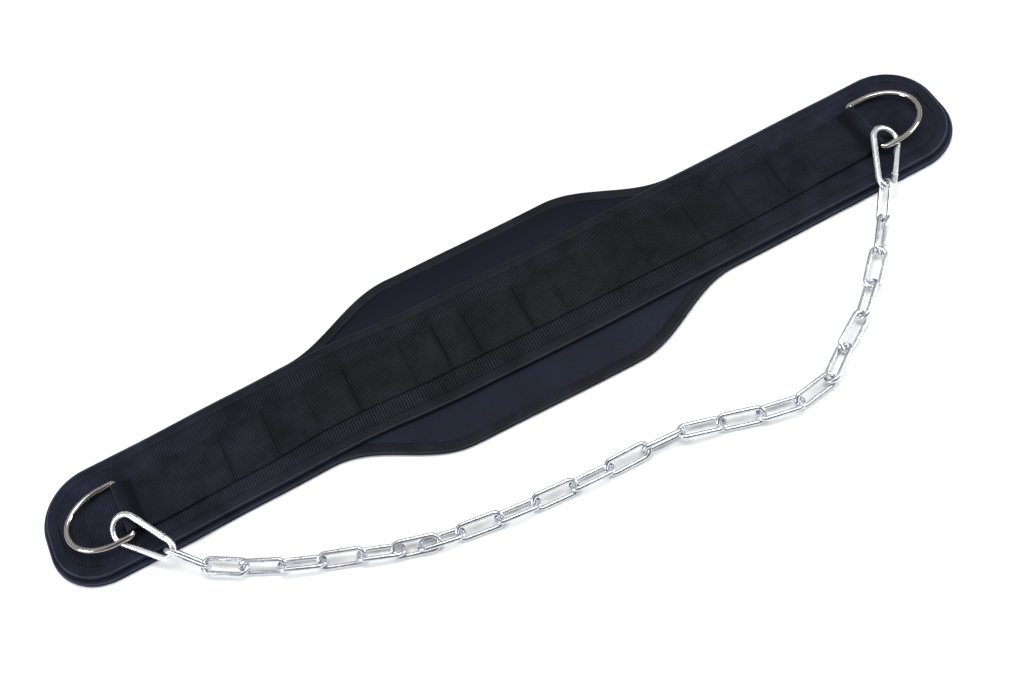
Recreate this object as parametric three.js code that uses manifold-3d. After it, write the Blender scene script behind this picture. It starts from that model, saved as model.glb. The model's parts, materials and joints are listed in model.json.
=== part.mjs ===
// Dip belt: a padded lumbar belt, lying flat, with a load chain clipped to a D-ring at each end.
// Millimetres, +Z up. The origin is the middle of the pad's underside, on the surface that it lies on.
// +X runs along the belt and -Y is the side on which the chain lies.
import * as THREE from 'three';
import { mergeVertices } from 'three/addons/utils/BufferGeometryUtils.js';
import Module from 'manifold-3d';

const wasm = await Module();
wasm.setup();

// Clearance between neighbouring pieces.
const gap = 0.3;

// Base pad and the strip pad sewn on it.
const beltLength = 849.5;
const beltWidth = 111.5;
const lumbarWidth = 187;
const lumbarLength = 374;
const lumbarCrest = 152;
const endRadius = 46.5;
const baseThickness = 4;
const stripMargin = 4.3;
const stripThickness = 3.3;

// Binding tape folded over both pads' edges.
const bindingReach = 10;
const bindingWall = 1.1;

// Webbing.
const webbingWall = 1.4;
const strapWidth = 50;
const strapTail = 62;
const loopLift = 3.8;
const loopRoom = 0.5;
const loopRun = 44;

// D-rings.
const ringWire = 5;
const ringInside = 52;
const ringDepth = 49.5;
const ringCorner = 3.5;
const ringLeg = 14;
const ringPitch = 1.5;
const ringYaw = { left: 3, right: 0 };

// Carabiners: a pear of wire with a sprung gate on one long side.
const carabinerLength = 64;
const carabinerWidth = 29.5;
const carabinerNarrow = 21;
const carabinerWire = 5.5;
const gateNoseSetback = 4.4;
const gatePinSetback = 6.3;
const tongueWall = 1.8;
const tongueLength = 4.2;
const tongueRoot = 1.5;
const tongueShare = 0.8;
const pinRadius = 0.9;
const pinHeadRadius = 1.7;
const pinHeadHeight = 0.5;

// Chain links. Play is how far a joint can close up along the chain.
const linkWire = 4;
const linkLength = 41.2;
const linkWidth = 16;
const linkPlay = 1;

// How the belt lies: the middle line of the belt and of the strap drift sideways along it.
// along: share of half the belt's length; belt, strap: share of the belt's width.
const drift = [
  { along: -1, belt: -0.01, strap: -0.056 },
  { along: -0.8, belt: -0.007, strap: -0.056 },
  { along: -0.57, belt: 0.012, strap: -0.024 },
  { along: -0.38, belt: 0.027, strap: 0.018 },
  { along: -0.14, belt: -0.018, strap: -0.016 },
  { along: 0.1, belt: -0.026, strap: -0.028 },
  { along: 0.45, belt: -0.011, strap: -0.035 },
  { along: 0.8, belt: 0.006, strap: 0.002 },
  { along: 1, belt: 0.018, strap: 0.002 },
];

// Bars of the D-rings, as shares of half the belt's length.
const ringBars = { left: -0.831, right: 0.8245 };

// Where each carabiner lies: its wide arc's middle seen from its ring's bar, its heading towards the
// chain, its dip below level and its roll about its own length. Its low side rests on the webbing.
const carabinerLies = {
  left: { out: 3.3, aside: -21, heading: -53, dip: 3, roll: 31 },
  right: { out: 5, aside: -23.4, heading: -122.5, dip: 3, roll: -31 },
};
const carabinerRest = 0.75;

// The chain's route between the carabiners, in the plane that it lies on.
const chainRoute = [
  [-309, -84],
  [-254, -115],
  [-195, -138],
  [-147, -155],
  [-90, -164.5],
  [-26, -169.5],
  [41, -171],
  [72, -172],
  [133, -189],
  [164, -195.5],
  [196, -190],
  [222, -170.5],
  [249, -153],
  [295, -107],
  [315, -82],
];

// Links that lie pushed together, by the joint after the link.
const slackJoints = { 6: 4, 7: 11 };

// Roll of each link about its own length. Links lean away from and towards the belt by turns, the
// other way round after the link that stands on edge, and the named ones lie as the chain's twist
// leaves them.
const leanAway = 42;
const leanBack = -30;
const standingLink = 14;
const rolledLinks = {
  1: 114, 2: 2, 3: 59, 6: -27, 7: 31, 14: 101, 15: -13, 17: -15, 18: 50, 20: 34, 21: -47, 22: 6, 23: 62, 24: -48,
};

const neoprene = new THREE.MeshStandardMaterial({ color: 0x1a1e2a, roughness: 0.9, metalness: 0 });
const tape = new THREE.MeshStandardMaterial({ color: 0x17181d, roughness: 0.85, metalness: 0 });
const padding = new THREE.MeshStandardMaterial({ color: 0x1c202b, roughness: 0.9, metalness: 0 });
const webbing = new THREE.MeshStandardMaterial({ color: 0x22252e, roughness: 0.8, metalness: 0 });
const nickel = new THREE.MeshStandardMaterial({ color: 0xb9b2a8, roughness: 0.25, metalness: 1 });
const zinc = new THREE.MeshStandardMaterial({ color: 0xc9ccd2, roughness: 0.3, metalness: 1 });

const belt = new THREE.Group();

function addPiece(name, geometry, material, group = belt) {
  const piece = new THREE.Mesh(geometry, material);
  piece.name = name;
  group.add(piece);
  return piece;
}

// Geometry helpers.

function closedGeometry(points, triangles) {
  const geometry = new THREE.BufferGeometry();
  geometry.setAttribute('position', new THREE.Float32BufferAttribute(points.flatMap((p) => [p.x, p.y, p.z]), 3));
  geometry.setIndex(signedVolume(points, triangles) < 0 ? triangles.toReversed() : triangles);
  geometry.computeVertexNormals();
  return geometry;
}

function signedVolume(points, triangles) {
  let volume = 0;
  for (let i = 0; i < triangles.length; i += 3) {
    const [a, b, c] = [points[triangles[i]], points[triangles[i + 1]], points[triangles[i + 2]]];
    volume += a.dot(new THREE.Vector3().crossVectors(b, c)) / 6;
  }
  return volume;
}

// Caps for a ring of points: a fan for a small section, a ladder for a belt layer, whose ring runs
// along its far edge and back along its near edge.
function fanCap(first, count) {
  return Array.from({ length: count - 2 }, (_, i) => [first, first + i + 1, first + i + 2]).flat();
}

function ladderCap(first, count) {
  const rungs = count / 2;
  return Array.from({ length: rungs - 1 }, (_, i) => {
    const [far, near] = [first + i, first + count - 1 - i];
    return [far, far + 1, near, far + 1, near - 1, near];
  }).flat();
}

// A skin over rings of equally many points: a band when it closes on itself, else capped at both ends.
function skin(rings, { band = false, cap = fanCap } = {}) {
  const count = rings[0].length;
  const triangles = [];
  const spans = band ? rings.length : rings.length - 1;
  for (let span = 0; span < spans; span += 1) {
    const here = span * count;
    const next = ((span + 1) % rings.length) * count;
    for (let i = 0; i < count; i += 1) {
      const j = (i + 1) % count;
      triangles.push(here + i, here + j, next + j, here + i, next + j, next + i);
    }
  }
  if (!band) {
    triangles.push(...cap(0, count).toReversed(), ...cap((rings.length - 1) * count, count));
  }
  return closedGeometry(rings.flat(), triangles);
}

// Round wire along a path in its own XY plane.
function wireAlong(path, diameter, facets, closed) {
  const rings = path.map((point, i) => {
    const before = path[closed ? (i + path.length - 1) % path.length : Math.max(i - 1, 0)];
    const after = path[closed ? (i + 1) % path.length : Math.min(i + 1, path.length - 1)];
    const along = new THREE.Vector2().subVectors(after, before).normalize();
    return Array.from({ length: facets }, (_, facet) => {
      const angle = (2 * Math.PI * (facet + 0.5)) / facets;
      const across = (diameter / 2) * Math.cos(angle);
      const raised = (diameter / 2) * Math.sin(angle);
      return new THREE.Vector3(point.x - along.y * across, point.y + along.x * across, raised);
    });
  });
  return skin(rings, { band: closed });
}

// Points of an arc in degrees, both ends included.
function arc(cx, cy, rx, ry, from, to, steps) {
  return Array.from({ length: steps + 1 }, (_, i) => {
    const angle = THREE.MathUtils.degToRad(from + ((to - from) * i) / steps);
    return new THREE.Vector2(cx + rx * Math.cos(angle), cy + ry * Math.sin(angle));
  });
}

function toSolid(geometry) {
  const bare = geometry.clone();
  bare.deleteAttribute('normal');
  bare.deleteAttribute('uv');
  const merged = mergeVertices(bare, 1e-4);
  return new wasm.Manifold(new wasm.Mesh({
    numProp: 3,
    vertProperties: new Float32Array(merged.attributes.position.array),
    triVerts: new Uint32Array(merged.index.array),
  }));
}

function fromSolid(solid) {
  const mesh = solid.getMesh();
  const geometry = new THREE.BufferGeometry();
  geometry.setAttribute('position', new THREE.Float32BufferAttribute(mesh.vertProperties, 3));
  geometry.setIndex(Array.from(mesh.triVerts));
  geometry.computeVertexNormals();
  return geometry;
}

function boxAt(width, depth, height, x, y, z) {
  return new THREE.BoxGeometry(width, depth, height).translate(x, y, z);
}

// Belt outline.

const halfLength = beltLength / 2;

function smoothstep(t) {
  const u = THREE.MathUtils.clamp(t, 0, 1);
  return u * u * (3 - 2 * u);
}

// Sideways drift of a layer's middle line at x, eased from row to row.
function driftAt(x, column) {
  const along = THREE.MathUtils.clamp(x / halfLength, -1, 1);
  const next = drift.findIndex((row, i) => i > 0 && along <= row.along);
  const [from, to] = [drift[next - 1], drift[next]];
  const share = smoothstep((along - from.along) / (to.along - from.along));
  return beltWidth * THREE.MathUtils.lerp(from[column], to[column], share);
}

// How much of the lumbar bulge there is at x: all of it on the crest, none past its length.
function lumbarShare(x) {
  const run = (Math.abs(x) - lumbarCrest / 2) / ((lumbarLength - lumbarCrest) / 2);
  return (1 + Math.cos(Math.PI * THREE.MathUtils.clamp(run, 0, 1))) / 2;
}

const endSteps = 6;
const straightSteps = 5;
const bulgeSteps = 8;
const crestSteps = 4;

function evenly(from, to, steps) {
  return Array.from({ length: steps }, (_, i) => THREE.MathUtils.lerp(from, to, i / steps));
}

// Stations along a layer between its end arcs, closer together where the lumbar edge curves.
function stationsAlong(layer) {
  const reach = layer.length / 2 - layer.corner;
  if (layer.bulge === 0) {
    return [...evenly(-reach, reach, 14).slice(1)];
  }
  return [
    ...evenly(-reach, -lumbarLength / 2, straightSteps).slice(1),
    ...evenly(-lumbarLength / 2, -lumbarCrest / 2, bulgeSteps),
    ...evenly(-lumbarCrest / 2, lumbarCrest / 2, crestSteps),
    ...evenly(lumbarCrest / 2, lumbarLength / 2, bulgeSteps),
    ...evenly(lumbarLength / 2, reach, straightSteps),
  ];
}

// A layer's edge at height z, moved inwards by inset: along the far side, then back along the near one.
function edgeRing(layer, inset, z) {
  const half = layer.width / 2;
  const cx = layer.length / 2 - layer.corner;
  const cy = half - layer.corner;
  const radius = layer.corner - inset;
  const sides = stationsAlong(layer).map(
    (x) => new THREE.Vector2(x, half + layer.bulge * lumbarShare(x) - inset),
  );
  const far = [
    ...arc(-cx, cy, radius, radius, 180, 90, endSteps),
    ...sides,
    ...arc(cx, cy, radius, radius, 90, 0, endSteps),
  ];
  const near = far.map((p) => new THREE.Vector2(p.x, -p.y)).reverse();
  return [...far, ...near].map((p) => new THREE.Vector3(p.x, p.y + driftAt(p.x, 'belt'), z));
}

const baseLayer = {
  length: beltLength,
  width: beltWidth,
  corner: endRadius,
  bulge: (lumbarWidth - beltWidth) / 2,
  floor: 0,
  top: baseThickness,
};

const stripFloor = baseThickness + gap;
const stripTop = stripFloor + stripThickness;
const webbingFloor = stripTop + gap;
const webbingTop = webbingFloor + webbingWall;

const stripLayer = {
  length: beltLength - 2 * stripMargin,
  width: beltWidth - 2 * stripMargin,
  corner: endRadius - stripMargin,
  bulge: 0,
  floor: stripFloor,
  top: webbingTop,
};

// Binding tape: a C round the layer's edge, its outer corners eased.
function bindingTape(layer) {
  const { floor, top } = layer;
  const ease = bindingWall * 0.6;
  const section = [
    [bindingReach, floor],
    [ease, floor],
    [0, floor + ease],
    [0, top - ease],
    [ease, top],
    [bindingReach, top],
    [bindingReach, top - bindingWall],
    [bindingWall, top - bindingWall],
    [bindingWall, floor + bindingWall],
    [bindingReach, floor + bindingWall],
  ];
  return skin(section.map(([inset, z]) => edgeRing(layer, inset, z)), { band: true });
}

// A pad whose rim is thinned where the binding grips it. Its top is stepped too unless it lies lower.
function boundPad(layer, padTop) {
  const body = bindingReach + gap;
  const rim = bindingWall + gap;
  const rimFloor = layer.floor + rim;
  const rimTop = Math.min(layer.top - rim, padTop);
  const profile = [
    [body, layer.floor],
    [body, rimFloor],
    [rim, rimFloor],
    [rim, rimTop],
  ];
  if (padTop > rimTop) {
    profile.push([body, rimTop], [body, padTop]);
  }
  return skin(profile.map(([inset, z]) => edgeRing(layer, inset, z)), { cap: ladderCap });
}

addPiece('base_pad', boundPad(baseLayer, baseLayer.top), neoprene);
addPiece('base_binding', bindingTape(baseLayer), tape);
addPiece('strip_pad', boundPad(stripLayer, stripTop), padding);
addPiece('strip_binding', bindingTape(stripLayer), tape);

// Wide webbing: lies on the strip pad inside its binding.
const webbingInset = bindingReach + gap;
const webbingSkin = skin(
  [edgeRing(stripLayer, webbingInset, webbingFloor), edgeRing(stripLayer, webbingInset, webbingTop)],
  { cap: ladderCap },
);
addPiece('wide_webbing', webbingSkin, webbing);

// Strap: narrow webbing along the middle, folded round each D-ring's bar and sewn back under itself.

const strapFloor = webbingTop + gap;
const strapTop = strapFloor + webbingWall;
const doubledTop = strapTop + webbingWall;
const loopInner = ringWire / 2 + loopRoom;
const loopOuter = loopInner + webbingWall;
const barHeight = strapFloor + loopOuter;
const barX = { left: ringBars.left * halfLength, right: ringBars.right * halfLength };
const barMiddle = barHeight + loopLift / 2;
const strapStations = 12;
const eyeTip = 4 * loopInner;
const humpRun = 4.5 * loopInner;

// Outline of one folded end, seen from the side, with the bar's middle at x = 0 and the strap to its
// left: along the top to the bar and round it to the bottom.
function foldOutline() {
  return [
    new THREE.Vector2(-strapTail - webbingWall, strapTop),
    new THREE.Vector2(-strapTail, doubledTop),
    new THREE.Vector2(-humpRun, doubledTop),
    ...arc(0, barHeight, loopOuter, loopOuter, 100, -90, 8),
  ];
}

function eyeOutline() {
  return [
    new THREE.Vector2(-eyeTip, strapTop),
    ...arc(0, barHeight, loopInner, loopInner, -110, 110, 8),
  ];
}

function mirrored(points) {
  return points.map((p) => new THREE.Vector2(-p.x, p.y)).reverse();
}

function moved(points, x) {
  return points.map((p) => new THREE.Vector2(p.x + x, p.y));
}

function strapGeometry() {
  const tailEnds = { left: barX.left + strapTail + webbingWall, right: barX.right - strapTail - webbingWall };
  const along = evenly(tailEnds.left, tailEnds.right, strapStations).slice(1);
  const outline = [
    ...moved(mirrored(foldOutline()), barX.left),
    ...along.map((x) => new THREE.Vector2(x, strapTop)),
    ...moved(foldOutline(), barX.right),
    ...along.map((x) => new THREE.Vector2(x, strapFloor)).reverse(),
  ];
  const shape = new THREE.Shape(outline);
  shape.holes.push(new THREE.Path(moved(mirrored(eyeOutline()), barX.left)));
  shape.holes.push(new THREE.Path(moved(eyeOutline(), barX.right)));
  const side = new THREE.ExtrudeGeometry(shape, { depth: strapWidth, bevelEnabled: false, steps: 1 });
  side.rotateX(Math.PI / 2).translate(0, strapWidth / 2, 0);
  return layStrap(side);
}

// How far the loop's near edge has been lifted, as a share, at x.
function loopShare(x) {
  const inboard = Math.min(x - barX.left, barX.right - x);
  return 1 - smoothstep(inboard / loopRun);
}

// Moves the straight strap onto its drifting middle line, its loops lifted towards the near edge and
// turned with their rings.
function layStrap(geometry) {
  const position = geometry.attributes.position;
  for (let i = 0; i < position.count; i += 1) {
    const [x, y] = [position.getX(i), position.getY(i)];
    const share = loopShare(x);
    const lift = loopLift * share * (0.5 - y / strapWidth);
    const turn = THREE.MathUtils.degToRad(ringYaw[x < 0 ? 'left' : 'right']);
    position.setXYZ(i, x - share * y * Math.tan(turn), y + driftAt(x, 'strap'), position.getZ(i) + lift);
  }
  geometry.computeVertexNormals();
  return geometry;
}

addPiece('strap', strapGeometry(), webbing);

// D-ring: a straight bar, two short legs and an arc, lying over the belt's end.

function ringGeometry() {
  const half = (ringInside + ringWire) / 2;
  const path = [
    ...arc(ringCorner, ringCorner - half, ringCorner, ringCorner, 180, 270, 3),
    ...arc(ringLeg, 0, ringDepth - ringLeg, half, -90, 90, 12),
    ...arc(ringCorner, half - ringCorner, ringCorner, ringCorner, 90, 180, 3),
  ];
  return wireAlong(path, ringWire, 8, true);
}

const ringTilt = Math.atan(loopLift / strapWidth);
const outwards = { left: -1, right: 1 };

for (const side of ['left', 'right']) {
  const ring = addPiece(`d_ring_${side}`, ringGeometry(), nickel);
  ring.position.set(barX[side], driftAt(barX[side], 'strap'), barMiddle);
  const turn = new THREE.Matrix4().makeRotationX(-ringTilt);
  const facing = (side === 'left' ? 180 : 0) + ringYaw[side];
  turn.multiply(new THREE.Matrix4().makeRotationZ(THREE.MathUtils.degToRad(facing)));
  turn.multiply(new THREE.Matrix4().makeRotationY(-THREE.MathUtils.degToRad(ringPitch)));
  ring.quaternion.setFromRotationMatrix(turn);
}

// Carabiner, in its own frame: x from the middle of the wide arc towards the narrow one, y towards
// the gate, z across the wire loop's plane.

const wideRadius = (carabinerWidth - carabinerWire) / 2;
const narrowRadius = (carabinerNarrow - carabinerWire) / 2;
const arcsApart = carabinerLength - (carabinerWidth + carabinerNarrow) / 2;
const taper = Math.asin((wideRadius - narrowRadius) / arcsApart);
const taperDegrees = THREE.MathUtils.radToDeg(taper);
const gateSideLength = arcsApart * Math.cos(taper);

// Frame of the gate's side: its start on the wide arc, and the direction towards the narrow arc.
const gateStart = new THREE.Vector2(Math.sin(taper), Math.cos(taper)).multiplyScalar(wideRadius);
const gateAlong = new THREE.Vector2(Math.cos(taper), -Math.sin(taper));
const gateFrame = new THREE.Matrix4()
  .makeTranslation(gateStart.x, gateStart.y, 0)
  .multiply(new THREE.Matrix4().makeRotationZ(-taper));
const pinAt = gateSideLength - gatePinSetback;
const hingeShoulder = pinAt + carabinerWire / 2 + gap;
const noseShoulder = gateNoseSetback - gap;
const slotWidth = tongueWall + 2 * gap;

function onGateSide(distance) {
  return gateStart.clone().addScaledVector(gateAlong, distance);
}

function cylinderAcross(radius, height, x, facets) {
  return new THREE.CylinderGeometry(radius, radius, height, facets).rotateX(Math.PI / 2).translate(x, 0, 0);
}

function carabinerBody() {
  const path = [
    onGateSide(noseShoulder),
    ...arc(0, 0, wideRadius, wideRadius, 90 - taperDegrees, 270 + taperDegrees, 12),
    ...arc(arcsApart, 0, narrowRadius, narrowRadius, 270 + taperDegrees, 450 - taperDegrees, 7),
    onGateSide(hingeShoulder),
  ];
  const wire = toSolid(wireAlong(path, carabinerWire, 8, false));
  const height = carabinerWire * tongueShare;
  const noseLength = tongueLength + tongueRoot;
  const nose = boxAt(noseLength, height, tongueWall, noseShoulder - tongueRoot + noseLength / 2, 0, 0);
  const hingeLength = hingeShoulder - pinAt + tongueRoot;
  const hinge = boxAt(hingeLength, height, tongueWall, pinAt + hingeLength / 2, 0, 0);
  const knuckle = cylinderAcross(height / 2, tongueWall, pinAt, 12);
  const bore = cylinderAcross(pinRadius + gap, carabinerWire, pinAt, 10);
  let body = wire;
  for (const tongue of [nose, hinge, knuckle]) {
    body = body.add(toSolid(tongue.applyMatrix4(gateFrame)));
  }
  return fromSolid(body.subtract(toSolid(bore.applyMatrix4(gateFrame))));
}

// The gate in a frame of its own: the pin at the origin, x towards the narrow arc.
function carabinerGate() {
  const length = pinAt - gateNoseSetback;
  const rod = new THREE.CylinderGeometry(carabinerWire / 2, carabinerWire / 2, length + carabinerWire, 8);
  rod.rotateY(Math.PI / 8).rotateZ(Math.PI / 2).translate((carabinerWire - length) / 2, 0, 0);
  const plate = new THREE.Shape();
  plate.moveTo(0, -carabinerWire / 2);
  plate.absarc(0, 0, carabinerWire / 2, -Math.PI / 2, Math.PI / 2, false);
  plate.lineTo(-length, carabinerWire / 2);
  plate.lineTo(-length, -carabinerWire / 2);
  const blank = new THREE.ExtrudeGeometry(plate, { depth: carabinerWire, bevelEnabled: false, curveSegments: 6 });
  blank.translate(0, 0, -carabinerWire / 2);
  const knuckleRoom = (carabinerWire * tongueShare) / 2 + gap;
  const noseSlot = boxAt(2 * (tongueLength + gap), 2 * carabinerWire, slotWidth, -length, 0, 0);
  const hingeSlot = boxAt(4 * knuckleRoom, 2 * carabinerWire, slotWidth, knuckleRoom, 0, 0);
  const bore = cylinderAcross(pinRadius + gap, 2 * carabinerWire, 0, 10);
  let gate = toSolid(rod).intersect(toSolid(blank));
  for (const cut of [noseSlot, hingeSlot, bore]) {
    gate = gate.subtract(toSolid(cut));
  }
  return fromSolid(gate);
}

function carabinerRivet() {
  const inner = carabinerWire / 2 + gap;
  const outer = inner + pinHeadHeight;
  const profile = [
    [0, -outer],
    [pinHeadRadius, -outer],
    [pinHeadRadius, -inner],
    [pinRadius, -inner],
    [pinRadius, inner],
    [pinHeadRadius, inner],
    [pinHeadRadius, outer],
    [0, outer],
  ].map(([radius, z]) => new THREE.Vector2(radius, z));
  return new THREE.LatheGeometry(profile, 10).rotateX(Math.PI / 2);
}

// Places a carabiner in its group and returns the point where the chain's end joint bears on it.
function placeCarabiner(side) {
  const lie = carabinerLies[side];
  const [heading, dip, roll] = [lie.heading, lie.dip, lie.roll].map(THREE.MathUtils.degToRad);
  const along = new THREE.Vector3(
    Math.cos(heading) * Math.cos(dip),
    Math.sin(heading) * Math.cos(dip),
    -Math.sin(dip),
  );
  const level = new THREE.Vector3(-Math.sin(heading), Math.cos(heading), 0);
  const gateWards = level.clone().applyAxisAngle(along, roll);
  const across = new THREE.Vector3().crossVectors(along, gateWards);
  const lowSide = wideRadius * Math.abs(Math.sin(roll)) + carabinerWire / 2;
  const group = new THREE.Group();
  group.quaternion.setFromRotationMatrix(new THREE.Matrix4().makeBasis(along, gateWards, across));
  group.position.set(
    barX[side] + outwards[side] * lie.out,
    driftAt(barX[side], 'strap') + lie.aside,
    webbingTop + carabinerRest + lowSide,
  );
  belt.add(group);
  addPiece(`carabiner_${side}_body`, carabinerBody(), zinc, group);
  const pin = onGateSide(pinAt);
  for (const [part, geometry] of [['gate', carabinerGate()], ['rivet', carabinerRivet()]]) {
    const piece = addPiece(`carabiner_${side}_${part}`, geometry, zinc, group);
    piece.position.set(pin.x, pin.y, 0);
    piece.rotation.z = -taper;
  }
  const bearing = arcsApart + narrowRadius - carabinerWire / 2 - linkPlay;
  return group.position.clone().addScaledVector(along, bearing);
}

const chainEnds = ['left', 'right'].map(placeCarabiner);

// Chain: the links share one shape and are laid end to end along the route.

function linkGeometry() {
  const bend = (linkWidth - linkWire) / 2;
  const reach = (linkLength - linkWidth) / 2;
  const path = [
    ...arc(reach, 0, bend, bend, -90, 90, 7),
    ...arc(-reach, 0, bend, bend, 90, 270, 7),
  ];
  return wireAlong(path, linkWire, 6, true);
}

function rollOf(number) {
  const away = number % 2 === (number > standingLink ? 0 : 1);
  return rolledLinks[number] ?? (away ? leanAway : leanBack);
}

// Height of a link's middle line when it rests on the ground, and at its joint with a neighbour.
function restingHeight(number) {
  const lean = Math.abs(Math.sin(THREE.MathUtils.degToRad(rollOf(number))));
  return (linkWire + (linkWidth - linkWire) * lean) / 2;
}

function jointHeight(number, neighbour) {
  return Math.max(restingHeight(number), restingHeight(neighbour));
}

const linkPitch = linkLength - 2 * linkWire - linkPlay;
const route = new THREE.CatmullRomCurve3([
  chainEnds[0].clone().setZ(0),
  ...chainRoute.map(([x, y]) => new THREE.Vector3(x, y, 0)),
  chainEnds[1].clone().setZ(0),
], false, 'centripetal');
route.arcLengthDivisions = 2000;
const routeLength = route.getLength();
const slackTotal = Object.values(slackJoints).reduce((sum, slack) => sum + slack, 0);
const linkCount = Math.ceil((routeLength + slackTotal) / linkPitch);
const linkStep = (routeLength + slackTotal) / linkCount;

function placeLink(number, start) {
  const from = route.getPointAt(THREE.MathUtils.clamp(start / routeLength, 0, 1));
  const to = route.getPointAt(THREE.MathUtils.clamp((start + linkStep) / routeLength, 0, 1));
  from.z = number === 1 ? chainEnds[0].z : jointHeight(number, number - 1);
  to.z = number === linkCount ? chainEnds[1].z : jointHeight(number, number + 1);
  const along = new THREE.Vector3().subVectors(to, from).normalize();
  const level = new THREE.Vector3(-along.y, along.x, 0).normalize();
  const across = level.clone().applyAxisAngle(along, THREE.MathUtils.degToRad(rollOf(number)));
  const normal = new THREE.Vector3().crossVectors(along, across);
  const link = addPiece(`link_${String(number).padStart(2, '0')}`, linkGeometry(), zinc);
  link.position.lerpVectors(from, to, 0.5);
  link.quaternion.setFromRotationMatrix(new THREE.Matrix4().makeBasis(along, across, normal));
}

let laid = 0;
for (let number = 1; number <= linkCount; number += 1) {
  placeLink(number, laid);
  laid += linkStep - (slackJoints[number] ?? 0);
}

export default belt;
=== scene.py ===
# Dip belt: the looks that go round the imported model. Metres, in the model's own frame.
import json
import math
import random

import bmesh
import bpy
import numpy as np
from mathutils import Matrix, Vector, noise
from mathutils.bvhtree import BVHTree


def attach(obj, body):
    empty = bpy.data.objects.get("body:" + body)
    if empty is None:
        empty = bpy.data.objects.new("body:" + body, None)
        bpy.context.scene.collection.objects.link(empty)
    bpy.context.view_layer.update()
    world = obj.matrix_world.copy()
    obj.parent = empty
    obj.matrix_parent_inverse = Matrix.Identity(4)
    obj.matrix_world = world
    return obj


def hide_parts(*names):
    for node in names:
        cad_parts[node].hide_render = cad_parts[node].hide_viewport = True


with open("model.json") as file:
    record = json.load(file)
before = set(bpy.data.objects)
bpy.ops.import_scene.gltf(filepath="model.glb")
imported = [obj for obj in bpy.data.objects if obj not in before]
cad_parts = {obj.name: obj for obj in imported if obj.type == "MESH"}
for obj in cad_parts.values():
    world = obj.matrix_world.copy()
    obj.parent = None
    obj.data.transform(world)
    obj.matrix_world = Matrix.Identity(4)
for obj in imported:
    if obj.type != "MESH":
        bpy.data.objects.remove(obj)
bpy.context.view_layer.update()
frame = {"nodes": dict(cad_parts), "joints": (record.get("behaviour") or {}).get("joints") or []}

mm = 0.001
dice = random.Random(24)
print("stage: frame loaded")


# Helpers for selecting, shaping and placing.

def deselectAll():
    if bpy.context.mode != "OBJECT":
        bpy.ops.object.mode_set(mode="OBJECT")
    bpy.ops.object.select_all(action="DESELECT")


def activate(piece):
    deselectAll()
    piece.select_set(True)
    bpy.context.view_layer.objects.active = piece


def newest(name):
    piece = bpy.context.active_object
    piece.name = name
    piece.data.name = name
    return piece


def applyModifier(piece, kind, **settings):
    activate(piece)
    modifier = piece.modifiers.new(kind.title(), kind)
    for key, value in settings.items():
        setattr(modifier, key, value)
    bpy.ops.object.modifier_apply(modifier=modifier.name)


def editSelect(piece, vertexTest=None, edgeTest=None):
    # Opens edit mode with only the wanted points or edges selected.
    activate(piece)
    bpy.ops.object.mode_set(mode="EDIT")
    bpy.ops.mesh.select_mode(type="VERT" if vertexTest else "EDGE")
    bpy.ops.mesh.select_all(action="DESELECT")
    mesh = bmesh.from_edit_mesh(piece.data)
    if vertexTest:
        for vertex in mesh.verts:
            vertex.select = bool(vertexTest(vertex.co))
    else:
        for edge in mesh.edges:
            edge.select = bool(edgeTest(*(vertex.co for vertex in edge.verts)))
    mesh.select_flush_mode()
    bmesh.update_edit_mesh(piece.data)


def faceOutwards(piece):
    activate(piece)
    bpy.ops.object.mode_set(mode="EDIT")
    bpy.ops.mesh.select_all(action="SELECT")
    bpy.ops.mesh.remove_doubles(threshold=1e-6)
    bpy.ops.mesh.normals_make_consistent(inside=False)
    bpy.ops.object.mode_set(mode="OBJECT")


def smooth(piece, degrees):
    activate(piece)
    bpy.ops.object.shade_smooth_by_angle(angle=math.radians(degrees))


def combine(piece, others, operation):
    for other in others:
        applyModifier(piece, "BOOLEAN", operation=operation, object=other, solver="EXACT")
        bpy.data.objects.remove(other)


def cube(x, y, z, width, depth, height):
    deselectAll()
    bpy.ops.mesh.primitive_cube_add(size=1, location=(x, y, z), scale=(width, depth, height))
    bpy.ops.object.transform_apply(location=True, rotation=True, scale=True)
    return bpy.context.active_object


def cylinder(radius, height, x=0, z=0, turn=(0, 0, 0), vertices=32):
    deselectAll()
    bpy.ops.mesh.primitive_cylinder_add(
        vertices=vertices, radius=radius, depth=height, location=(x, 0, z), rotation=turn)
    bpy.ops.object.transform_apply(location=True, rotation=True, scale=True)
    return bpy.context.active_object


def getPoints(piece):
    points = np.empty(len(piece.data.vertices) * 3)
    piece.data.vertices.foreach_get("co", points)
    return points.reshape(-1, 3)


def setPoints(piece, points):
    piece.data.vertices.foreach_set("co", np.asarray(points, float).ravel())
    piece.data.update()


def setFlatMap(piece, along, across):
    # UV map in millimetres: along and across for each point.
    layer = piece.data.uv_layers.active
    loopPoints = np.empty(len(piece.data.loops), int)
    piece.data.loops.foreach_get("vertex_index", loopPoints)
    layer.data.foreach_set("uv", np.stack([along[loopPoints], across[loopPoints]], 1).ravel())


def setPaintedLight(piece, values):
    # One value for each point of painted light and shade: low where the cloth is painted into shade, high where it is
    # painted lit.
    piece.data.attributes.new("paintedLight", "FLOAT", "POINT").data.foreach_set("value", np.clip(values, 0, 1))


def finishPiece(piece, material, nodes, body="belt"):
    piece.data.materials.clear()
    piece.data.materials.append(material)
    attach(piece, body)
    if nodes:
        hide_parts(*nodes)
    return piece


def copyTo(model, name, matrix):
    copy = bpy.data.objects.new(name, model.data.copy())
    copy.data.name = name
    bpy.context.scene.collection.objects.link(copy)
    copy.data.transform(matrix @ Matrix.Scale(mm, 4))
    return copy


def framed(origin, xAxis, yAxis, zAxis):
    rows = [[xAxis[i], yAxis[i], zAxis[i], origin[i]] for i in range(3)]
    return Matrix(rows + [[0, 0, 0, 1]])


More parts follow.
